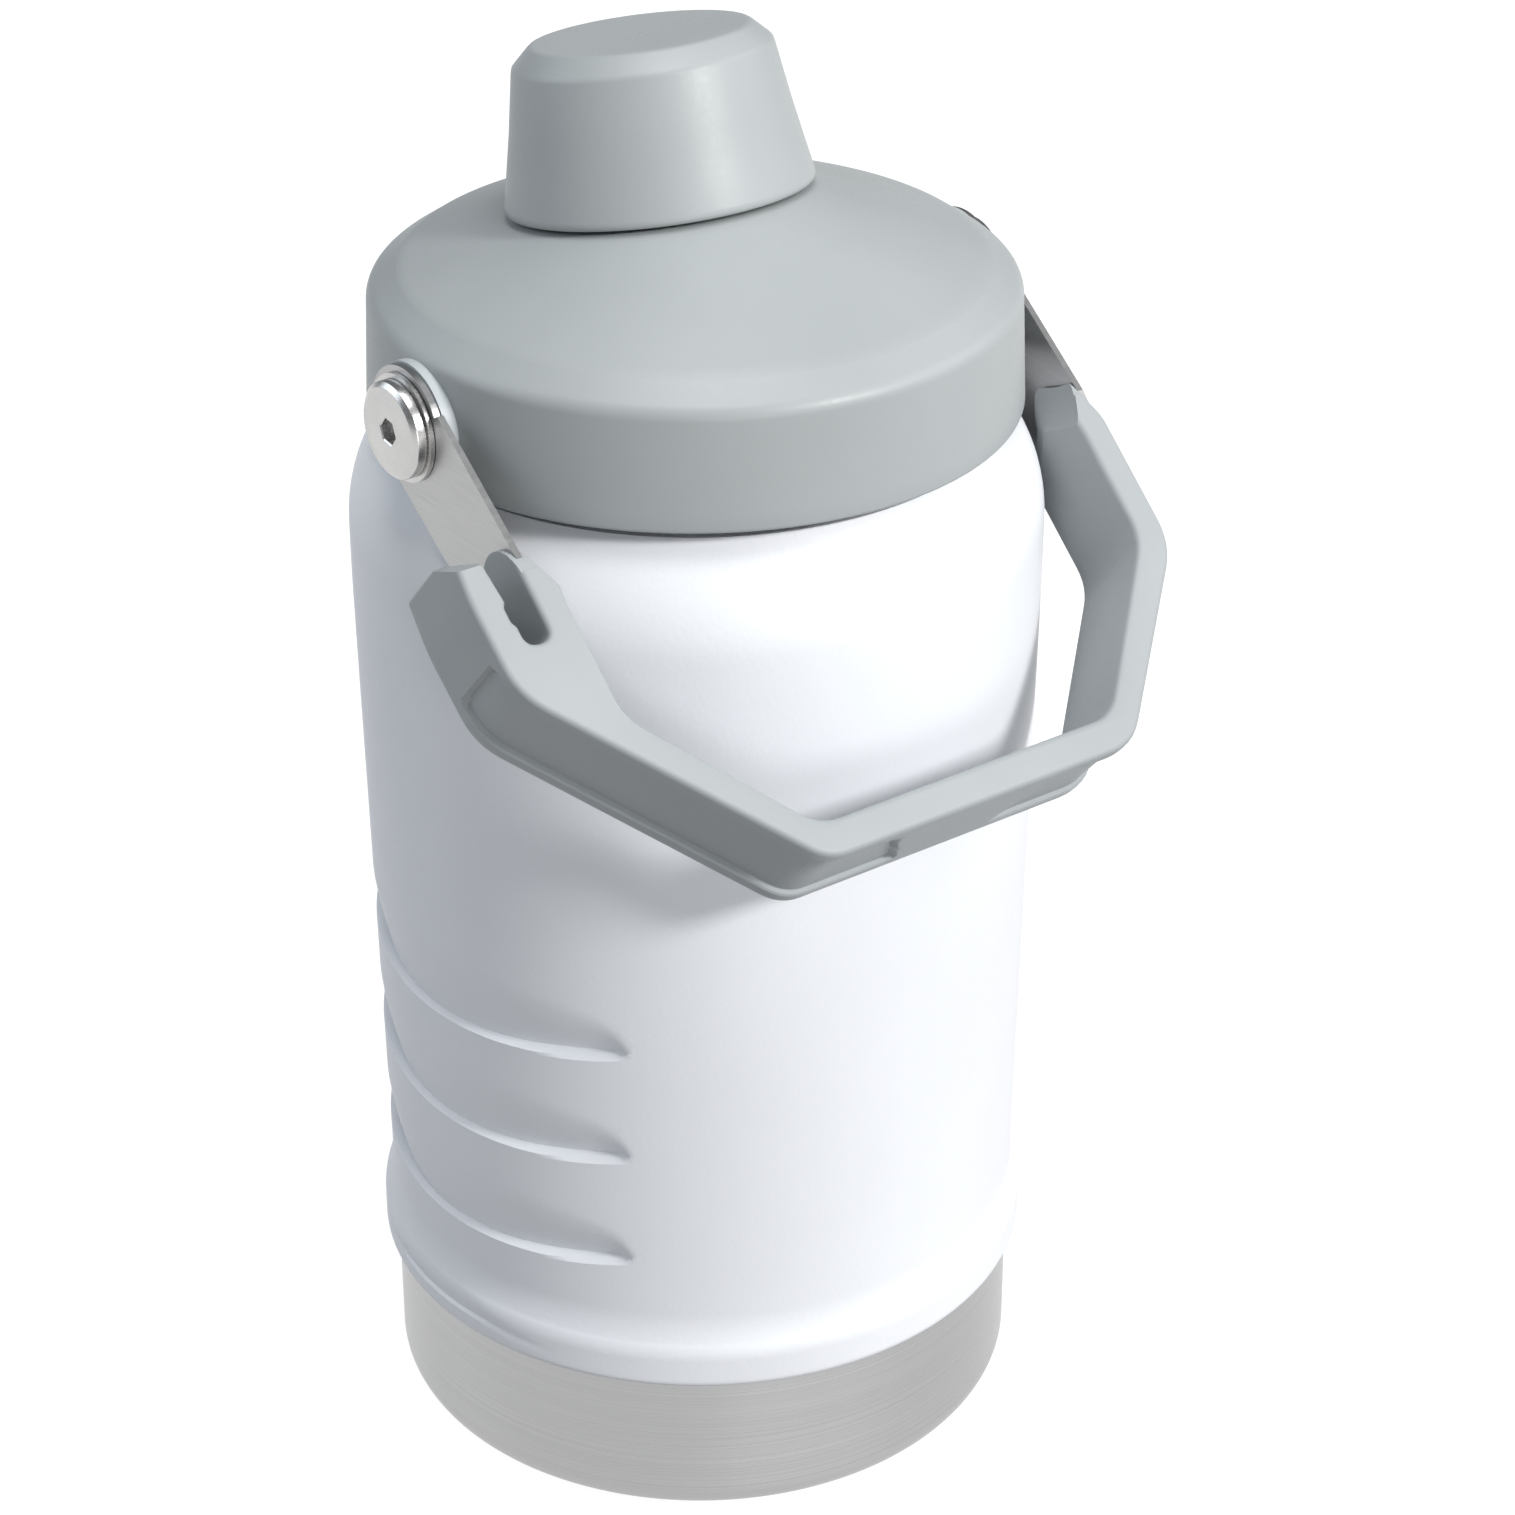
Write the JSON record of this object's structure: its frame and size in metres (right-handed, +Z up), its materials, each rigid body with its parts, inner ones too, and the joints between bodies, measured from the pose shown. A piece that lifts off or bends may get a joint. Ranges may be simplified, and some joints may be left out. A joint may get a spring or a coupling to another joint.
{
  "type": "growler",
  "caption": "Insulated steel bottle with finger grooves, screw lid, leaning spout with its own screw cap, and a swinging bail handle with a hook slot.",
  "frame": {"origin": "centre of the flat base, on the surface it stands on", "axes": "+Z up the bottle, X along the bail screws, +Y the way the spout leans; the bail rests towards -Y and the finger grooves face -X"},
  "size_m": [0.1346, 0.1437, 0.2668],
  "materials": {
    "body_coating": "powder coat, fine orange peel",
    "bare_steel": "brushed round the axis",
    "getter_metal": "sintered",
    "lid_plastic": "fine moulded texture",
    "inner_plastic": "smooth moulded",
    "foam": "closed-cell foam",
    "spacer_plastic": "smooth moulded",
    "brass_insert": "knurled, plain here",
    "fastener_steel": "bright satin",
    "strap_steel": "satin",
    "silicone": "matte"
  },
  "bodies": {
    "bottle": {"outer_shell": "body_coating", "base_cup": "bare_steel", "vacuum_floor": "bare_steel", "getter": "getter_metal", "inner_liner": "bare_steel", "liner_floor": "bare_steel", "neck_ring": "bare_steel"},
    "lid_seal_ring": {"lid_seal": "silicone"},
    "lid": {"lid_shell": "lid_plastic", "lid_liner": "inner_plastic", "lid_insulation": "foam", "spout": "inner_plastic", "pivot_spacer_left": "spacer_plastic", "pivot_spacer_right": "spacer_plastic", "pivot_insert_left": "brass_insert", "pivot_insert_right": "brass_insert", "pivot_screw_left": "fastener_steel", "pivot_screw_right": "fastener_steel", "pivot_washer_left": "fastener_steel", "pivot_washer_right": "fastener_steel"},
    "cap_seal_ring": {"cap_seal": "silicone"},
    "cap": {"cap_shell": "lid_plastic", "cap_liner": "inner_plastic", "cap_core": "foam"},
    "bail": {"handle_grip": "lid_plastic", "strap_left": "strap_steel", "strap_right": "strap_steel"}
  },
  "joints": [
    {"name": "lid_lift", "type": "slide", "parent": "bottle", "child": "lid_seal_ring", "axis": [0, 0, 1], "range_m": [0, 0.024]},
    {"name": "lid_turn", "type": "hinge", "parent": "lid_seal_ring", "child": "lid", "pos_m": [0, 0, 0.21], "axis": [0, 0, 1], "range_deg": [0, 720]},
    {"name": "cap_lift", "type": "slide", "parent": "lid", "child": "cap_seal_ring", "axis": [0, 0.1977, 0.9803], "range_m": [0, 0.012]},
    {"name": "cap_turn", "type": "hinge", "parent": "cap_seal_ring", "child": "cap", "pos_m": [0, 0.0101, 0.2353], "axis": [0, 0.1977, 0.9803], "range_deg": [0, 540]},
    {"name": "bail_swing", "type": "hinge", "parent": "lid", "child": "bail", "pos_m": [0, 0, 0.2112], "axis": [-1, 0, 0], "range_deg": [0, 248]}
  ],
  "couplings": [
    {"joint": "lid_lift", "follows": "lid_turn", "m_per_rad": 0.0019099},
    {"joint": "cap_lift", "follows": "cap_turn", "m_per_rad": 0.0012732}
  ]
}
